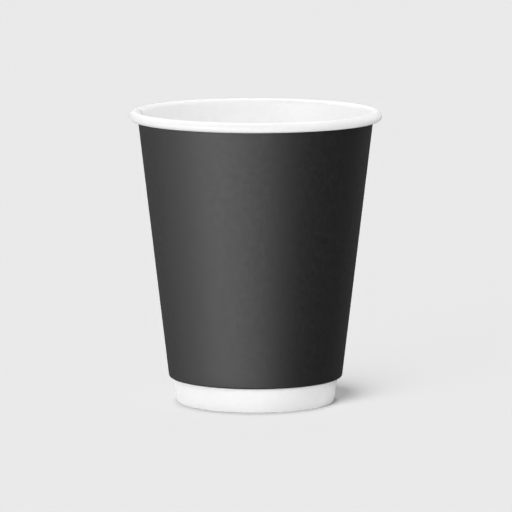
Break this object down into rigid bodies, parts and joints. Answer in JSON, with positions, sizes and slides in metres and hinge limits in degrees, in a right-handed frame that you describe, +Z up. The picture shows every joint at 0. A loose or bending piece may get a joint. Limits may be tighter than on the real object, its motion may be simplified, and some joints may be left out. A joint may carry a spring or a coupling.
{
  "type": "paper coffee cup",
  "caption": "Tapered double-wall paper coffee cup without a lid: white inner cup with a rolled rim, raised base and plain black outer sleeve over an air gap.",
  "frame": {"origin": "middle of the foot, on the table that the cup stands on", "axes": "+Z up along the cup's axis; -Y is the front, as pictured; both side seams are turned away from it"},
  "size_m": [0.08, 0.08, 0.0928],
  "materials": {
    "cup_board": "coated white board, faint sheen",
    "base_board": "coated white board, faint sheen",
    "sleeve_board": "uncoated board printed plain black, matt with a soft sheen"
  },
  "bodies": {
    "root": {"cup_wall": "cup_board", "cup_base": "base_board", "outer_sleeve": "sleeve_board"}
  },
  "joints": []
}
